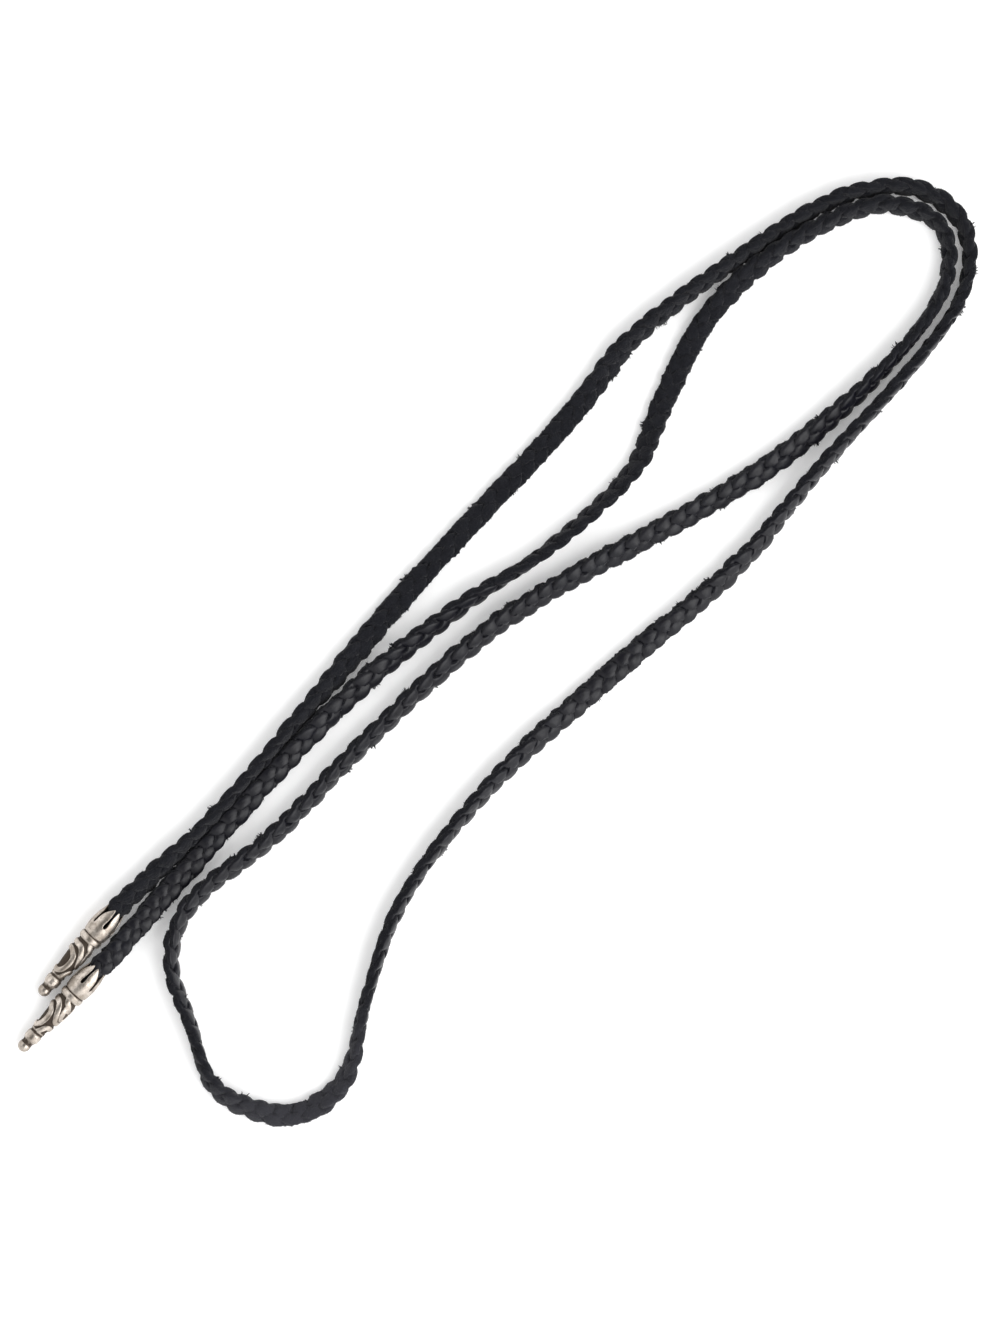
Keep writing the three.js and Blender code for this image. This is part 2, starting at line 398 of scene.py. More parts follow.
def lobe_phase(generator):
    """How far the strips have gone round their paths, in radians, along the lace."""
    from_tip = np.minimum(ALONG, TOTAL - ALONG)
    share = ease(from_tip / TIGHT_REACH)
    pitch = LOBE_PITCH_AT_TIPS + (LOBE_PITCH - LOBE_PITCH_AT_TIPS) * share
    pitch = pitch * (1 + uneven("pitch", generator))
    turns = 2 * math.pi / (STRIPS * pitch[:-1]) * np.diff(ALONG)
    return np.concatenate([[0], np.cumsum(turns)])


def open_share():
    """1 along the open plait, falling to 0 where it is pressed round to enter a tip."""
    from_mouth = np.minimum(ALONG, TOTAL - ALONG) - SQUEEZED_REACH
    return ease((from_mouth + SQUEEZE_END) / SQUEEZE_REACH)


def strip_section():
    """Points round a strip: across and out from -1 to 1, and 1 on the grain or 0 on flesh and edges."""
    points = []
    for angle in np.linspace(0, math.pi, TOP_SIDES):
        across = -math.copysign(abs(math.cos(angle)) ** SIDE_BULGE, math.cos(angle))
        points.append((across, math.sin(angle) ** FACE_BULGE, float(math.sin(angle) > GRAIN_RISE)))
    for angle in np.linspace(0, math.pi, UNDER_SIDES + 2)[1:-1]:
        across = math.copysign(abs(math.cos(angle)) ** SIDE_BULGE, math.cos(angle))
        points.append((across, -math.sin(angle) ** FACE_BULGE, 0.0))
    return np.array(points)


SECTION = strip_section()


def strip_path(theta, own):
    """How far a strip's middle lies to the side and towards the grain, in the open lace."""
    swing = SWING * (1 + uneven("swing", own))
    side = swing * (np.sin(theta) + SQUARENESS * np.sin(3 * theta)) / (1 - SQUARENESS)
    rising = np.sin(2 * theta)
    height = HUMP * rising * (1 + PLATEAU) / (1 + PLATEAU * rising**2) + uneven("height", own)
    return side, height


def strip_ways(path, bank):
    """Ways along a strip's width and out of its grain, station by station."""
    tangent = unit(np.gradient(path, axis=0))
    out = unit(GRAIN_OUT - tangent * np.sum(GRAIN_OUT * tangent, axis=1)[:, None])
    wide = np.cross(out, tangent)
    wide *= np.sign(np.sum(wide * ACROSS, axis=1))[:, None]
    turn_cos, turn_sin = np.cos(bank)[:, None], np.sin(bank)[:, None]
    return wide * turn_cos - out * turn_sin, out * turn_cos + wide * turn_sin


def strip_rings(number, phase):
    """One strip's rings of points, its run along itself and its width, station by station."""
    own = np.random.default_rng(SEED + 1 + number)
    free = open_share()
    apart = 2 * math.pi * number / STRIPS
    theta = phase + apart + uneven("phase", own)
    side, height = strip_path(theta, own)
    held = theta / 3 + apart  # a loose twist inside the tip
    side = side * free + HELD_SWING * np.cos(held) * (1 - free)
    height = height * free + HELD_SWING * np.sin(held) * (1 - free)
    path = CENTRES + ACROSS * side[:, None] + GRAIN_OUT * height[:, None]
    bank = BANK * np.sin(2 * theta) * np.sin(theta) * free + uneven("bank", own)
    wide, out = strip_ways(path, bank)
    width = STRIP_WIDTH * (1 - LOBE_SWELL * np.cos(4 * theta)) * (1 + uneven("width", own))
    width = width * free + HELD_WIDTH * (1 - free)
    thickness = STRIP_THICKNESS * (1 - EDGE_THINNING * np.sin(theta) ** 4)
    thickness = thickness * (1 + uneven("thickness", own))
    rough = 1 + EDGE_ROUGHNESS * own.standard_normal((COUNT, len(SECTION))) * (1 - SECTION[:, 2])
    rings = (
        path[:, None, :]
        + wide[:, None, :] * (width[:, None] / 2 * SECTION[:, 0] * rough)[:, :, None]
        + out[:, None, :] * (thickness[:, None] / 2 * SECTION[:, 1])[:, :, None]
    )
    run = np.concatenate([[0], np.cumsum(np.linalg.norm(np.diff(path, axis=0), axis=1))])
    return rings, run, width


def settle(rings):
    """All strips' rings, moved up or down station by station so that the lace lies on the floor."""
    lowest = rings[..., 2].min(axis=(0, 2))
    window = int(SETTLE_REACH / FINE_STEP)
    padded = np.pad(lowest, window, mode="edge")
    lowest = np.min([padded[k : k + COUNT] for k in range(2 * window + 1)], axis=0)
    free = ease((np.minimum(ALONG, TOTAL - ALONG) - SQUEEZED_REACH) / SETTLE_START)
    shift = smoothed((LIFTS - lowest) * free, window)
    rings[..., 2] = np.maximum(rings[..., 2] + shift[:, None], FLOOR_CLEARANCE)
    return rings


PRESSED_REACH = 0.012  # from each end of the lace, where its tip may touch it
# in millimetres
HELD_GAP = 0.06  # between the pressed plait and the bore
BULGE = 0.8  # how far the plait may stand out between the leaves and before the mouth
BULGE_RISE = 0.6  # over which it does so, inside an opening
NOTCH_MARGIN = 0.1  # how far inside a notch it starts to
SLIT_MARGIN = 0.2
BEFORE_MOUTH = (-1.2, 0.5)  # where the leaves end, and over how far the plait comes free


def pressed_by_tips(rings):
    """The plait, pressed in where the tips' leaves hold it, and bulging a little between them."""
    for place, (mouth, left, rise, axis) in TIP_FRAMES.items():
        near = (ALONG if place == "upper" else TOTAL - ALONG) < PRESSED_REACH
        away = (rings[:, near] - mouth) / MM
        side, up, along = away @ left, away @ rise, away @ axis
        radius = np.hypot(side, up)
        turn = np.arctan2(side, up)
        notch, slit = room(turn - math.radians(TIPS[place][2]), along)
        between = ease(np.maximum(notch - NOTCH_MARGIN, slit - SLIT_MARGIN) / BULGE_RISE)
        before = ease((BEFORE_MOUTH[0] - along) / BEFORE_MOUTH[1])
        limit = BORE_RADIUS - HELD_GAP + BULGE * np.maximum(between, before)
        share = np.minimum(1, limit / np.maximum(radius, TINY))
        held = (side * share)[..., None] * left + (up * share)[..., None] * rise
        rings[:, near] = mouth + (held + along[..., None] * axis) * MM
    return rings


def tube_faces(rings, sides, first):
    """Quads between rings of that many points, and a face across each end."""
    ring = first + np.arange(rings - 1)[:, None] * sides
    here = np.arange(sides)
    there = (here + 1) % sides
    quads = np.stack([ring + here, ring + sides + here, ring + sides + there, ring + there], axis=-1)
    start = list(range(first, first + sides))
    end = [corner + (rings - 1) * sides for corner in reversed(start)]
    return [*quads.reshape(-1, 4).tolist(), start, end]


RUN_OFFSET = 0.2  # between the strips' runs, so that their leather differs


def make_plait():
    """The lace's three strips as one piece, with the attributes that its leather reads."""
    phase = lobe_phase(np.random.default_rng(SEED))
    strips = [strip_rings(number, phase) for number in range(STRIPS)]
    rings = pressed_by_tips(settle(np.array([rings for rings, _, _ in strips])))
    sides = len(SECTION)
    faces = []
    for number in range(STRIPS):
        faces += tube_faces(COUNT, sides, number * COUNT * sides)
    plait = mesh_object("braided_leather", rings.reshape(-1, 3), faces)
    runs = [np.repeat(run + RUN_OFFSET * number, sides) for number, (_, run, _) in enumerate(strips)]
    across = [(width[:, None] / 2 * SECTION[:, 0]).ravel() for _, _, width in strips]
    set_attribute(plait, "grain", np.tile(SECTION[:, 2], COUNT * STRIPS))
    set_attribute(plait, "run", np.concatenate(runs))
    set_attribute(plait, "across", np.concatenate(across))
    # painted light: how much each point of the free loop's bottom is painted paler
    set_attribute(plait, "painted_light", np.tile(np.repeat(LIT_SHARE, sides), STRIPS))
    return plait, rings


plait, RINGS = make_plait()

# ---- Nap and loose fibres of the flesh side and the cut edges ----

FLESH_CHANCE = 0.35  # that a fibre grows from the flesh face rather than a cut edge
TRIES = 6  # places drawn for each fibre, of which the open ones are kept
END_STATIONS = 20  # at each end of the lace, where no fibre grows
ROOT_DEPTH = 0.00004
SLIMMEST, WIDEST = 0.5, 1.3  # a fibre's width, as shares of its kind's
THINNEST, THICKEST = 0.5, 0.9  # and its thickness, as shares of its own width
KNEE = 0.55  # how far up a bent fibre has its knee
KNEE_WIDTH = 0.7  # as a share of the width at the root
KNEE_BEND = 0.8
# piece: kind: count, shortest and longest reach, width, lean (0 stands straight out)
FIBRES = {
    "leather_nap": {
        "flake": (46000, 0.00012, 0.00032, 0.00010, 0.55),
    },
    "leather_fibres": {
        "hair": (20000, 0.00016, 0.00044, 0.00006, 0.45),
        "bent": (4000, 0.00030, 0.00065, 0.00005, 0.45),
        "tuft": (5500, 0.00020, 0.00045, 0.00015, 0.48),
        "fray": (84, 0.00045, 0.00100, 0.00022, 0.32),
        "wisp": (600, 0.00040, 0.00100, 0.00024, 0.30),
    },
}
BENT = ("bent", "tuft", "fray", "wisp")  # the kinds with a knee halfway
# where an edge is worn into a brush of fibres: how far along the lace, and 1 on its left side
FRAYED = [(0.3320, -1), (0.5181, 1), (0.5381, 1), (0.8143, -1), (0.8831, -1), (0.9234, 1)]
OPEN_SHARE = 0.86  # of the way out from the lace's middle; what is nearer is covered
FRAY_REACH = 0.0004  # to each side of such a place
WISPS = 90  # small brushes of a few fibres, anywhere along the lace
WISP_START = 0.02  # from each end of the lace
ROOT_FACE = (0, 2, 1)
STRAIGHT_FACES = np.array([ROOT_FACE, (0, 1, 3), (1, 2, 3), (2, 0, 3)])
SHANK_FACES = [face for a, b in ((0, 1), (1, 2), (2, 0)) for face in ((a, b, a + 3), (b, b + 3, a + 3))]
BENT_FACES = np.array([ROOT_FACE, *SHANK_FACES, (3, 4, 6), (4, 5, 6), (5, 3, 6)])


def scattered_corners(count, rings, generator):
    """Strip, station and section point of that many fibres, on open flesh and cut edges."""
    tries = TRIES * count
    strip = generator.integers(0, STRIPS, tries)
    station = generator.integers(END_STATIONS, COUNT - END_STATIONS - 1, tries)
    flesh = generator.random(tries) < FLESH_CHANCE
    under = generator.integers(TOP_SIDES, len(SECTION), tries)
    edge = generator.choice([0, TOP_SIDES - 1], tries)
    side = np.where(flesh, under, edge)
    apart = rings[strip, station, side] - CENTRES[station]
    across = np.sum(apart * ACROSS[station], axis=1) / (CORD_WIDTH / 2)
    out = np.sum(apart * GRAIN_OUT[station], axis=1) / (CORD_THICKNESS / 2)
    open_ones = np.flatnonzero(np.hypot(across, out) > OPEN_SHARE)
    kept = np.resize(open_ones, count)
    return strip[kept], station[kept], side[kept]


def wisp_places(generator):
    """Random places for the small brushes, like those in FRAYED."""
    along = generator.uniform(WISP_START, TOTAL - WISP_START, WISPS)
    return np.stack([along, generator.choice([-1, 1], WISPS)], axis=1)


def brush_corners(count, places, rings, generator):
    """The same for brushes of fibres: each on the corner that reaches farthest to its side."""
    place = np.array(places)[np.arange(count) % len(places)]
    away = generator.uniform(-FRAY_REACH, FRAY_REACH, count)
    station = np.searchsorted(ALONG, place[:, 0] + away)
    apart = rings[:, station] - CENTRES[station][None, :, None, :]
    reach = np.einsum("nksc,kc->kns", apart, LEFTS[station]) * place[:, 1][:, None, None]
    farthest = reach.reshape(count, -1).argmax(axis=1)
    return farthest // len(SECTION), station, farthest % len(SECTION)


def fibre_roots(corners, rings, generator):
    """Points at those corners, a little astray, with the surface's way out and way along."""
    strip, station, side = corners
    count = len(strip)
    here = rings[strip, station, side]
    neighbour = rings[strip, station, (side + 1) % len(SECTION)]
    here = here + (neighbour - here) * generator.random((count, 1))
    middle = rings[strip, station].mean(axis=1)
    along = unit(rings[strip, station + 1, side] - rings[strip, station - 1, side])
    here = here + along * FINE_STEP * generator.uniform(-0.5, 0.5, (count, 1))
    out = unit(here - middle)
    return here - out * ROOT_DEPTH, out, along


def fibre_corners(kind, count, rings, generator):
    """Strip, station and section point of each fibre of that kind."""
    if kind == "fray":
        return brush_corners(count, FRAYED, rings, generator)
    if kind == "wisp":
        return brush_corners(count, wisp_places(generator), rings, generator)
    return scattered_corners(count, rings, generator)


def fibre_bodies(kind, sizes, rings, generator):
    """The corners of each fibre, a thin three-sided spike or a bent one, and how much painted light it
    gets.
    """
    count, shortest, longest, width, lean = sizes
    corners = fibre_corners(kind, count, rings, generator)
    root, out, along = fibre_roots(corners, rings, generator)
    turn = generator.uniform(0, 2 * math.pi, count)[:, None]
    lying = along * np.cos(turn) + np.cross(out, along) * np.sin(turn)
    reach = generator.uniform(shortest, longest, count)[:, None]
    rise = unit(out * (1 - lean) + lying * lean)
    sideways = unit(np.cross(rise, out + TINY))
    wide = sideways * width * generator.uniform(SLIMMEST, WIDEST, (count, 1)) / 2
    thick = np.cross(rise, wide) * generator.uniform(THINNEST, THICKEST, (count, 1))
    points = [root + wide, root - wide, root + thick]
    if kind in BENT:
        bent = unit(rise + KNEE_BEND * generator.uniform(-1, 1, (count, 3)))
        knee = root + rise * reach * KNEE
        points += [knee + way * KNEE_WIDTH for way in (wide, -wide, thick)]
        points.append(knee + bent * reach * (1 - KNEE))
    else:
        points.append(root + rise * reach)
    points = np.stack(points, axis=1)
    points[..., 2] = np.maximum(points[..., 2], FLOOR_CLEARANCE)
    return points, LIT_SHARE[corners[1]]


def make_fibres(name, rings, generator):
    """All the kinds of fibres of that piece."""
    vertices, faces, painted_light, first = [], [], [], 0
    for kind, sizes in FIBRES[name].items():
        points, painted_light_share = fibre_bodies(kind, sizes, rings, generator)
        painted_light.append(np.repeat(painted_light_share, points.shape[1]))
        shape = BENT_FACES if kind in BENT else STRAIGHT_FACES
        starts = first + np.arange(len(points)) * points.shape[1]
        faces += (starts[:, None, None] + shape).reshape(-1, 3).tolist()
        vertices.append(points.reshape(-1, 3))
        first += points.shape[0] * points.shape[1]
    piece = mesh_object(name, np.vstack(vertices), faces, smooth=False)
    # painted light on the fibres, as on the suede they grow from
    set_attribute(piece, "painted_light", np.concatenate(painted_light))
    return piece


fibre_luck = np.random.default_rng(SEED + 10)
nap, fibres = (make_fibres(name, RINGS, fibre_luck) for name in FIBRES)

# ---- Silver tips ----

RECESS = (7.45, 16.75)  # where the ground between the scrolls lies lower
RECESS_DEPTH = 0.34
RECESS_ENDS = (0.4, 0.6)  # over which it falls and rises
RIB_HALF_WIDTH = 0.61
RIB_FLANK = 0.28
RIB_TAPER = 0.14  # how much slimmer a scroll is at its ends
RIB_CROWN = 0.16  # how much lower it is at its sides
MIRROR_PLANE = -94  # in degrees; the far side's scrolls mirror the near side's
# degrees round from the middle of a leaf to the left, and millimetres from the mouth
SCROLLS = {
    "sweep": [(-94, 8.8), (-52, 9.0), (-32, 9.0), (-12, 9.35)]
    + [(8, 10.3), (28, 11.75), (48, 12.8), (86, 13.1)],
    "curl": [(-94, 10.5), (-54, 10.6), (-34, 11.1), (-14, 11.9), (-7, 13.2)]
    + [(-12, 14.4), (-34, 15.5), (-60, 15.8), (-94, 15.6)],
    "bar": [(4, 16.8), (18, 16.0), (32, 15.2), (48, 14.7), (86, 14.9)],
    "spur": [(10, 7.4), (20, 8.1), (42, 8.7), (66, 9.6)],
    "stem": [(38, 8.6), (44, 10.0), (54, 11.2), (70, 11.9)],
}
TIP_PITCH = 0.078  # of the grid that the tip's skin is found on

MAP_TURNS = 720
MAP_STEP = 0.04
MAP_ALONG = np.arange(-1.2, 22.4, MAP_STEP)
FAR = 9.0  # farther than any scroll's side


def curve_through(points, pieces=10):
    """Points close together along the smooth curve through a few."""
    rows = [np.array(p, float) for p in points]
    rows = [2 * rows[0] - rows[1], *rows, 2 * rows[-1] - rows[-2]]
    line = [
        spline_point(*rows[span : span + 4], part)
        for span in range(len(rows) - 3)
        for part in np.arange(pieces) / pieces
    ]
    return np.array([*line, rows[-2]])


def rib_map():
    """1 along the middle of a scroll, falling to 0 at its sides, over the tip's unrolled skin."""
    turns = np.radians(np.arange(MAP_TURNS) * 360 / MAP_TURNS)
    radius = tip_radius(MAP_ALONG)[None, :]
    closest = np.full((MAP_TURNS, len(MAP_ALONG)), FAR)
    for points in SCROLLS.values():
        line = curve_through(points)
        slim = 1 - RIB_TAPER * (1 - np.sin(np.linspace(0, math.pi, len(line))))
        for (turn, along), share in zip(line, slim):
            for place in (turn, 2 * MIRROR_PLANE - turn):
                away = turns - math.radians(place)
                away = (away + math.pi) % (2 * math.pi) - math.pi
                apart = np.hypot(away[:, None] * radius, MAP_ALONG[None, :] - along) / share
                np.minimum(closest, apart, out=closest)
    flank = ease((RIB_HALF_WIDTH + RIB_FLANK / 2 - closest) / RIB_FLANK)
    return flank * (1 - RIB_CROWN * np.clip(closest / RIB_HALF_WIDTH, 0, 1) ** 2)


RIBS = rib_map()


def look_up(table, turn, along):
    """A value of a map over the unrolled skin, between its four nearest points."""
    across = (turn / (2 * math.pi) * MAP_TURNS) % MAP_TURNS
    down = np.clip((along - MAP_ALONG[0]) / MAP_STEP, 0, len(MAP_ALONG) - 1.001)
    left, top = across.astype(int), down.astype(int)
    right = (left + 1) % MAP_TURNS
    a, b = across - left, down - top
    upper = table[left, top] * (1 - a) + table[right, top] * a
    lower = table[left, top + 1] * (1 - a) + table[right, top + 1] * a
    return upper * (1 - b) + lower * b


BODY_END = 20.4  # where the turned body ends, inside the round nose
# how far the tip's edges are rounded, in millimetres
EDGE_ROUND = 0.10
BORE_ROUND = 0.4
NOTCH_ROUND = 0.14
SLIT_ROUND = 0.12


def larger(one, other, blend):
    """The larger of two fields, with the edge between them rounded over that distance."""
    share = np.clip(0.5 + 0.5 * (one - other) / blend, 0, 1)
    return other + (one - other) * share + blend * share * (1 - share)


def tip_field(points):
    """Below 0 in the tip's silver. Points are to the left, up and along, in millimetres."""
    side, up, along = points[..., 0], points[..., 1], points[..., 2]
    away = np.hypot(side, up)
    turn = np.arctan2(side, up)
    falling = ease((along - RECESS[0]) / RECESS_ENDS[0])
    rising = ease((RECESS[1] - along) / RECESS_ENDS[1])
    ground = RECESS_DEPTH * falling * rising
    outer = tip_radius(along) - ground * (1 - look_up(RIBS, turn, along))
    body = larger(away - outer, along - BODY_END, EDGE_ROUND)
    nose = np.sqrt(away**2 + (along - NOSE_MIDDLE) ** 2) - NOSE_RADIUS
    solid = -larger(-body, -nose, EDGE_ROUND)
    bore = larger(away - BORE_RADIUS, along - BORE_DEPTH, BORE_ROUND)
    solid = larger(solid, -bore, EDGE_ROUND)
    notch, slit = room(turn, along)
    solid = larger(solid, notch, NOTCH_ROUND)
    return larger(solid, slit, SLIT_ROUND)


LOWER, UPPER, INNER = slice(None, -1), slice(1, None), slice(1, -1)  # of a grid's points
LEAST_STEEP = 0.2  # the least slope squared that a move is reckoned with


def index_along(parts, rest=slice(None)):
    """An index into a 3-D grid: the part given for each axis, and the rest for the others."""
    return tuple(parts.get(axis, rest) for axis in range(3))


def cell_points(grid, values, pitch):
    """The middle of the field's crossings of each cell's edges, and which cells it crosses."""
    shape = np.array(values.shape) - 1
    total = np.zeros((*shape, 3))
    crossings = np.zeros(shape)
    for axis in range(3):
        lower = index_along({axis: LOWER})
        one, other = values[lower], values[index_along({axis: UPPER})]
        crossed = (one < 0) != (other < 0)
        part = np.where(crossed, one / np.where(crossed, one - other, 1), 0)
        place = grid[lower] * crossed[..., None]
        place[..., axis] += part * pitch
        first, second = [k for k in range(3) if k != axis]
        for a in (LOWER, UPPER):
            for b in (LOWER, UPPER):
                near = index_along({first: a, second: b})
                total += place[near]
                crossings += crossed[near]
    used = crossings > 0
    return total[used] / crossings[used][:, None], used


def cell_quads(values, number, axis):
    """Quads between the numbered cells round each edge along that axis that the field crosses."""
    first, second = (axis + 1) % 3, (axis + 2) % 3
    inner = {first: INNER, second: INNER}
    one = values[index_along({axis: LOWER, **inner})] < 0
    other = values[index_along({axis: UPPER, **inner})] < 0
    cells = np.argwhere(one != other)
    steps = np.zeros((4, 3), int)
    steps[1, first] = steps[2, first] = 1
    steps[2, second] = steps[3, second] = 1
    quads = np.stack([number[tuple((cells + step).T)] for step in steps], axis=1)
    inward = ~one[one != other]
    quads[inward] = quads[inward][:, ::-1]
    return quads


def skin(field, low, high, pitch):
    """Points and quads where a field crosses 0, one point for each grid cell that it crosses."""
    axes = [np.arange(a, b + pitch, pitch) for a, b in zip(low, high)]
    grid = np.stack(np.meshgrid(*axes, indexing="ij"), axis=-1)
    values = field(grid)
    points, used = cell_points(grid, values, pitch)
    number = np.full(used.shape, -1)
    number[used] = np.arange(len(points))
    return points, np.vstack([cell_quads(values, number, axis) for axis in range(3)])


def drawn_onto(field, points, rounds=3, nudge=0.004):
    """Points moved straight to where the field is 0, by at most half a cell each time."""
    steps = np.eye(3) * nudge
    most = TIP_PITCH / 2
    for _ in range(rounds):
        rises = [field(points + step) - field(points - step) for step in steps]
        slope = np.stack(rises, axis=1) / (2 * nudge)
        steep = np.maximum(np.sum(slope**2, axis=1), LEAST_STEEP)
        move = slope * (field(points) / steep)[:, None]
        points = points - np.clip(move, -most, most)
    return points


GROOVES = (6.12, 17.1, 19.3, 19.8, 20.3)  # the profile's rows that lie in a groove
NECK = (16.8, 18.8)  # where the scrolls end and the neck's ring begins
DARK_DEPTH = (0.31, 0.62)  # where the silver is wholly dark, up to there and beyond


def tip_darkness(points):
    """1 in the recesses, where the silver is left dark, and 0 on what stands proud."""
    side, up, along = points.T
    away = np.hypot(side, up)
    proud = np.array([row for row in TIP_PROFILE if row[0] not in GROOVES])
    cover = np.interp(along, proud[:, 0], proud[:, 1])
    depth = np.where(along > NOSE_MIDDLE - 0.5, 0, cover - away)
    return ease(depth / np.interp(along, NECK, DARK_DEPTH))


TIP_LOW, TIP_HIGH = (-2.9, -2.9, -1.5), (2.9, 2.9, 22.3)  # a box round it: left, up and along


def make_tips():
    """The upper and the lower tip, each with its recesses marked for the tarnish."""
    points, quads = skin(tip_field, TIP_LOW, TIP_HIGH, TIP_PITCH)
    points = drawn_onto(tip_field, points)
    dark = tip_darkness(points)
    tips = []
    for place, (mouth, left, rise, axis) in TIP_FRAMES.items():
        spin = math.radians(TIPS[place][2])
        up = rise * math.cos(spin) + left * math.sin(spin)
        side = np.cross(up, axis)
        placed = mouth + (points[:, :1] * side + points[:, 1:2] * up + points[:, 2:] * axis) * MM
        tip = mesh_object(f"cast_tip_{place}", placed, quads.tolist())
        set_attribute(tip, "dark", dark)
        tips.append(tip)
    return tips


tips = make_tips()

# ---- Materials ----

# colours, most in pairs that a noise mixes
COOL_GRAIN = (0.0018, 0.0019, 0.0040), (0.0042, 0.0044, 0.0084)
WARM_GRAIN = (0.0026, 0.0024, 0.0042), (0.0056, 0.0052, 0.0084)
DEEP_SUEDE = (0.0032, 0.0035, 0.0053), (0.0080, 0.0086, 0.0120)
LIGHT_SUEDE = (0.0054, 0.0057, 0.0081), (0.0150, 0.0156, 0.0198)
# painted light: the suede's paler colour on the free loop's bottom, where the light falls
PAINTED_LIGHT_SUEDE = (0.017, 0.017, 0.021), (0.044, 0.044, 0.052)
LOOSE_FIBRE = (0.0042, 0.0045, 0.0066), (0.0130, 0.0135, 0.0174)
# painted light: the fibres' paler colour on the free loop's bottom, where the light falls
PAINTED_LIGHT_FIBRE = (0.033, 0.033, 0.040)
CLEAN_SILVER = (0.57, 0.515, 0.46), (0.31, 0.27, 0.23)
SILVER_SPECK = (0.18, 0.15, 0.125)
RECESS_BROWN = (0.016, 0.011, 0.008), (0.085, 0.062, 0.044)
PAPER = (0.93, 0.93, 0.93), (0.95, 0.95, 0.95)
SHINE = (0.28, 0.46)  # roughness of the grain and of clean silver
# bumps' size in metres, detail and roughness
NOISES = {
    "grain patches": (0.006, 2, 0.55),
    "grain specks": (0.0007, 4, 0.55),
    "gloss": (0.0009, 3, 0.55),
    "creases": (0.0008, 3, 0.5),
    "nap": (0.00025, 4, 0.7),
    "nap patches": (0.0016, 3, 0.55),
    "tufts": (0.0005, 4, 0.65),
    "fibre shades": (0.0012, 2, 0.55),
    "stain edges": (0.0009, 4, 0.55),
    "silver specks": (0.00035, 5, 0.65),
    "tarnish": (0.0016, 3, 0.55),
    "browns": (0.0004, 3, 0.55),
    "polish": (0.0003, 5, 0.55),
    "dents": (0.0011, 3, 0.55),
    "scratches": (0.00022, 4, 0.55),
    "paper": (0.002, 2, 0.55),
}
PORE_SIZE = 0.00022
# height in metres and strength
RELIEFS = {
    "creases": (0.00007, 0.6),
    "pores": (0.00003, 0.5),
    "tufts": (0.0003, 0.8),
    "nap": (0.00012, 0.9),
    "dents": (0.00009, 0.6),
    "scratches": (0.000018, 0.6),
}
GRAIN_STRETCH = 2.2  # of the grain's creases, along a strip
MIX_FROM, MIX_TO, MIXED = 6, 7, 2  # the colour sockets of a mix node


class Recipe:
    """The nodes of a material or of the sky: its shader, and short ways to add to it."""

    def __init__(self, owner, shader="Principled BSDF"):
        owner.use_nodes = True
        self.owner = owner
        self.tree = owner.node_tree
        self.shader = self.tree.nodes[shader]

    def fill(self, socket, value):
        """Joins another node's output to a socket, or sets the socket's own constant."""
        if isinstance(value, bpy.types.NodeSocket):
            self.tree.links.new(value, socket)
        elif socket.type == "RGBA":
            socket.default_value = (*value, 1)
        else:
            socket.default_value = value

    def feed(self, **values):
        """Fills the shader's own sockets."""
        for name, value in values.items():
            self.fill(self.shader.inputs[name.replace("_", " ")], value)

    def node(self, kind, inputs=None, **settings):
        """A new node, with its inputs filled."""
        node = self.tree.nodes.new(kind)
        for name, value in settings.items():
            setattr(node, name, value)
        for name, value in (inputs or {}).items():
            self.fill(node.inputs[name], value)
        return node

    def place(self, kind="Object"):
        return self.node("ShaderNodeTexCoord").outputs[kind]

    def attribute(self, name):
        return self.node("ShaderNodeAttribute", attribute_name=name).outputs["Fac"]

    def noise(self, kind, vector):
        """Cloudy noise of that kind."""
        size, detail, roughness = NOISES[kind]
        inputs = {"Vector": vector, "Scale": 1 / size, "Detail": detail, "Roughness": roughness}
        return self.node("ShaderNodeTexNoise", inputs).outputs["Fac"]

    def cells(self, vector, size):
        """Distance from the middles of random cells of about that size in metres."""
        inputs = {"Vector": vector, "Scale": 1 / size}
        return self.node("ShaderNodeTexVoronoi", inputs).outputs["Distance"]

    def spread(self, value, low, high, to_low=0.0, to_high=1.0, step="LINEAR"):
        """A value between low and high, stretched to run between two others."""
        inputs = {"Value": value, "From Min": low, "From Max": high, "To Min": to_low, "To Max": to_high}
        return self.node("ShaderNodeMapRange", inputs, interpolation_type=step).outputs["Result"]

    def maths(self, operation, one, other):
        return self.node("ShaderNodeMath", {0: one, 1: other}, operation=operation).outputs["Value"]

    def mix(self, share, one, other):
        """A colour from one to the other."""
        inputs = {"Factor": share, MIX_FROM: one, MIX_TO: other}
        return self.node("ShaderNodeMix", inputs, data_type="RGBA").outputs[MIXED]

    def bump(self, kind, height, **under):
        """That kind of relief, on top of another where there is one."""
        distance, strength = RELIEFS[kind]
        inputs = {"Height": height, "Distance": distance, "Strength": strength, **under}
        return self.node("ShaderNodeBump", inputs).outputs["Normal"]

    def along_strip(self, stretch):
        """A place on a strip of leather, with what lies along it drawn out."""
        run = self.maths("MULTIPLY", self.attribute("run"), 1 / stretch)
        inputs = {"X": run, "Y": self.attribute("across")}
        return self.node("ShaderNodeCombineXYZ", inputs).outputs["Vector"]


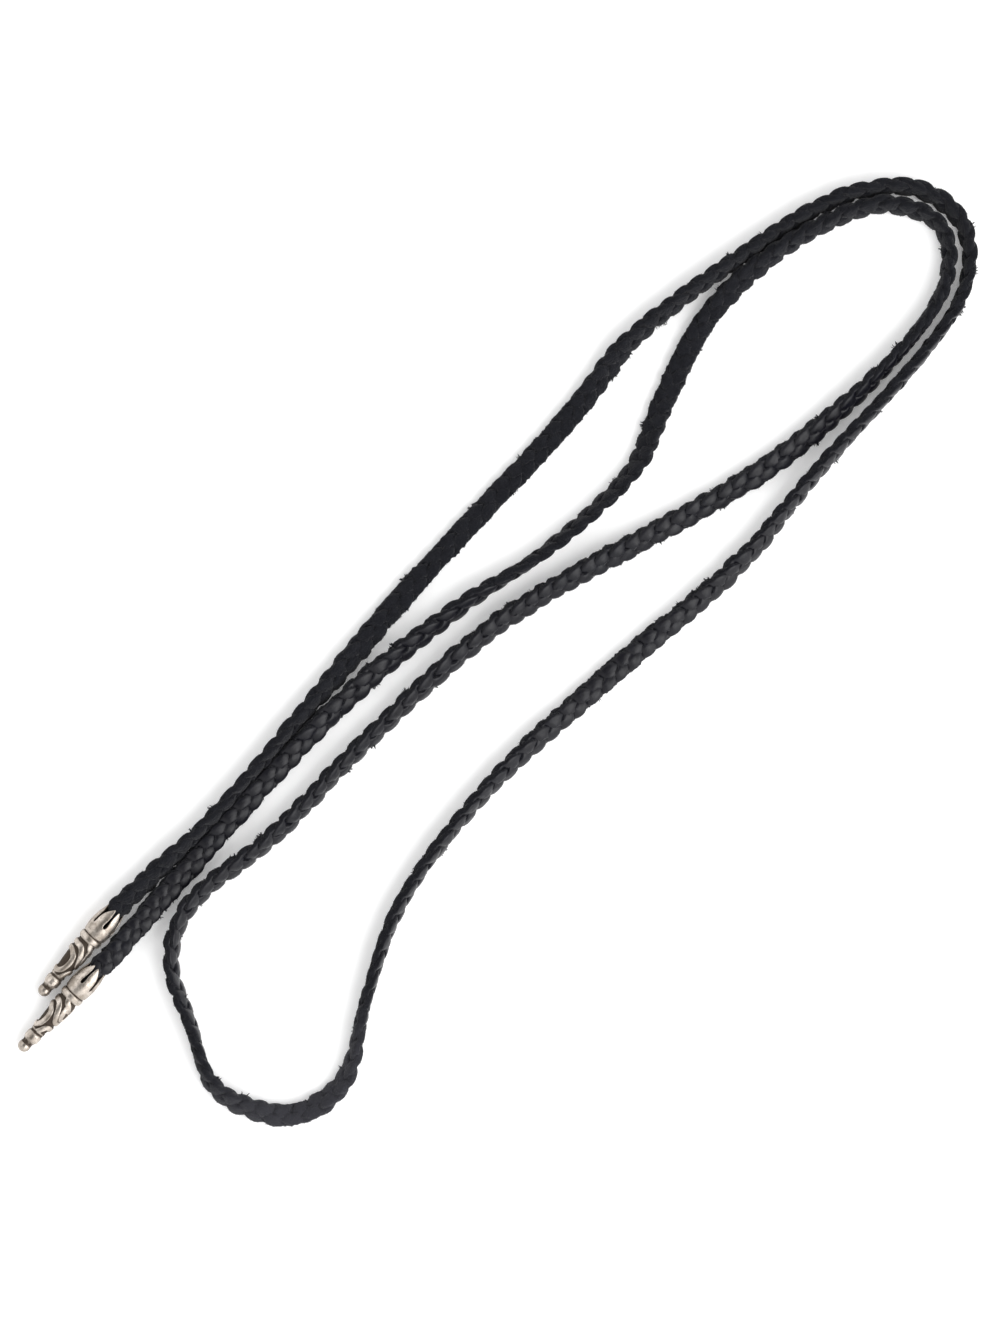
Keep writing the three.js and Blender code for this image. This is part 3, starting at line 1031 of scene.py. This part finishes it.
def grain_leather():
    """The smooth face: near black, softly shiny, warmer in patches, with pores and creases."""
    recipe = Recipe(bpy.data.materials.new("grain_leather"))
    place = recipe.place()
    strip = recipe.along_strip(GRAIN_STRETCH)
    patches = recipe.spread(recipe.noise("grain patches", place), 0.35, 0.7)
    specks = recipe.spread(recipe.noise("grain specks", place), 0.3, 0.75)
    cool = recipe.mix(specks, *COOL_GRAIN)
    warm = recipe.mix(specks, *WARM_GRAIN)
    recipe.feed(Base_Color=recipe.mix(patches, cool, warm), Specular_IOR_Level=0.25)
    recipe.feed(Roughness=recipe.spread(recipe.noise("gloss", strip), 0.3, 0.7, *SHINE))
    creases = recipe.bump("creases", recipe.noise("creases", strip))
    recipe.feed(Normal=recipe.bump("pores", recipe.cells(place, PORE_SIZE), Normal=creases))
    return recipe.owner


def suede_leather():
    """The flesh face and the cut edges: matte, with a nap that lies in patches, and painted paler where
    the light falls on the free loop's bottom.
    """
    recipe = Recipe(bpy.data.materials.new("suede_leather"))
    place = recipe.place()
    nap = recipe.noise("nap", place)
    patches = recipe.spread(recipe.noise("nap patches", place), 0.3, 0.7)
    plain = recipe.mix(patches, recipe.mix(nap, *DEEP_SUEDE), recipe.mix(nap, *LIGHT_SUEDE))
    # painted light: the suede painted paler on the free loop's bottom, where the light falls
    lit_suede = recipe.mix(nap, *PAINTED_LIGHT_SUEDE)
    recipe.feed(Base_Color=recipe.mix(recipe.attribute("painted_light"), plain, lit_suede))
    tufts = recipe.bump("tufts", recipe.noise("tufts", place))
    recipe.feed(Normal=recipe.bump("nap", nap, Normal=tufts))
    recipe.feed(Roughness=0.95, Specular_IOR_Level=0.12, Sheen_Weight=0.12, Sheen_Roughness=0.45)
    return recipe.owner


def fibre_leather():
    """Loose fibres: matte, and much like the suede that they grow from."""
    recipe = Recipe(bpy.data.materials.new("fibre_leather"))
    plain = recipe.mix(recipe.noise("fibre shades", recipe.place()), *LOOSE_FIBRE)
    # painted light: fibres painted paler on the free loop's bottom, where the light falls
    recipe.feed(Base_Color=recipe.mix(recipe.attribute("painted_light"), plain, PAINTED_LIGHT_FIBRE))
    recipe.feed(Roughness=0.9, Specular_IOR_Level=0.15)
    return recipe.owner


def cast_silver():
    """Warm polished silver with fine scratches, left dark brown in its recesses."""
    recipe = Recipe(bpy.data.materials.new("cast_silver"))
    place = recipe.place()
    ragged = recipe.spread(recipe.noise("stain edges", place), 0.3, 0.7, -0.22, 0.22)
    stain = recipe.spread(recipe.maths("ADD", recipe.attribute("dark"), ragged), 0.32, 0.80)
    specks = recipe.spread(recipe.noise("silver specks", place), 0.50, 0.72, 0.0, 0.85)
    tarnish = recipe.spread(recipe.noise("tarnish", place), 0.35, 0.65)
    bright = recipe.mix(specks, recipe.mix(tarnish, *CLEAN_SILVER), SILVER_SPECK)
    brown = recipe.mix(recipe.noise("browns", place), *RECESS_BROWN)
    recipe.feed(Base_Color=recipe.mix(stain, bright, brown))
    polish = recipe.spread(recipe.noise("polish", place), 0.3, 0.7, *SHINE)
    recipe.feed(Roughness=recipe.maths("ADD", polish, recipe.maths("MULTIPLY", stain, 0.35)))
    recipe.feed(Metallic=recipe.spread(stain, 0.0, 1.0, 1.0, 0.55))
    dents = recipe.bump("dents", recipe.noise("dents", place))
    recipe.feed(Normal=recipe.bump("scratches", recipe.noise("scratches", place), Normal=dents))
    return recipe.owner


def dress(piece, *materials):
    """Gives the piece those materials."""
    for material in materials:
        piece.data.materials.append(material)


def suede_faces():
    """For each face of the plait, 0 on the grain and 1 on the flesh side and the cut edges."""
    sides = len(SECTION)
    grain = SECTION[:, 2] > 0.5
    ring = np.where(grain & np.roll(grain, -1), 0, 1)
    return np.tile(np.concatenate([np.tile(ring, COUNT - 1), [1, 1]]), STRIPS)


dress(plait, grain_leather(), suede_leather())
plait.data.polygons.foreach_set("material_index", suede_faces().astype(np.int32))
fibre_material = fibre_leather()
dress(nap, fibre_material)
dress(fibres, fibre_material)
silver = cast_silver()
for tip in tips:
    dress(tip, silver)

# ---- What stands for what ----

for piece in (plait, nap, fibres, *tips):
    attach(piece, "root")
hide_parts("braided_cord")
for tip, name in zip(tips, ("silver_tip_upper", "silver_tip_lower")):
    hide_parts(name)

# ---- Floor and light ----

FLOOR_REACH = 3.0  # from the middle to each side
FLOOR_GLOW = 0.18  # as of a light table


def make_floor():
    """A wide pale sheet under the necklace."""
    corners = np.array([(-1, -1, 0), (1, -1, 0), (1, 1, 0), (-1, 1, 0)]) * FLOOR_REACH
    floor = mesh_object("floor", corners, [(0, 1, 2, 3)], smooth=False)
    recipe = Recipe(bpy.data.materials.new("paper"))
    recipe.feed(Base_Color=recipe.mix(recipe.noise("paper", recipe.place()), *PAPER))
    recipe.feed(Roughness=1.0, Specular_IOR_Level=0.0)
    recipe.feed(Emission_Color=(1, 1, 1), Emission_Strength=FLOOR_GLOW)
    dress(floor, recipe.owner)


ZENITH_GLOW = 0.16
SIDE_GLOW = 1.35
DOME_STEP = (0.70, 0.95)  # sines of the heights between which the glow changes
BRIGHT_SIDE = math.radians(-60)  # from +X to where the sky is brightest
BIAS = 0.45  # how much brighter that side is than the mean


def make_sky():
    """White all round, brighter on one side and darker overhead."""
    world = bpy.data.worlds.new("studio")
    bpy.context.scene.world = world
    recipe = Recipe(world, "Background")
    way = recipe.place("Generated")
    height = recipe.node("ShaderNodeSeparateXYZ", {"Vector": way}).outputs["Z"]
    dome = recipe.spread(height, *DOME_STEP, SIDE_GLOW, ZENITH_GLOW, "SMOOTHSTEP")
    sides = {0: way, 1: (math.cos(BRIGHT_SIDE), math.sin(BRIGHT_SIDE), 0)}
    facing = recipe.node("ShaderNodeVectorMath", sides, operation="DOT_PRODUCT").outputs["Value"]
    bias = recipe.maths("ADD", recipe.maths("MULTIPLY", facing, BIAS), 1.0)
    recipe.feed(Color=(1, 1, 1), Strength=recipe.maths("MULTIPLY", dome, bias))


# name: way round from +X and height over the floor in degrees, distance, size, power
LAMPS = {
    "key": (-70, 48, 1.1, 0.90, 8),
    "rim": (115, 35, 1.2, 1.00, 3),
}


def make_lamps():
    """Soft square lamps, turned to the middle of the necklace."""
    for name, (round_way, rise, distance, size, power) in LAMPS.items():
        data = bpy.data.lights.new(name, "AREA")
        data.size = size
        data.energy = power
        lamp = bpy.data.objects.new(name, data)
        round_way, rise = math.radians(round_way), math.radians(rise)
        flat, height = math.cos(rise) * distance, math.sin(rise) * distance
        lamp.location = (math.cos(round_way) * flat, math.sin(round_way) * flat, height)
        lamp.rotation_euler = (-lamp.location).to_track_quat("-Z", "Y").to_euler()
        lamp.visible_camera = False
        bpy.context.scene.collection.objects.link(lamp)


make_floor()
make_sky()
make_lamps()
bpy.context.scene.view_settings.view_transform = "Standard"
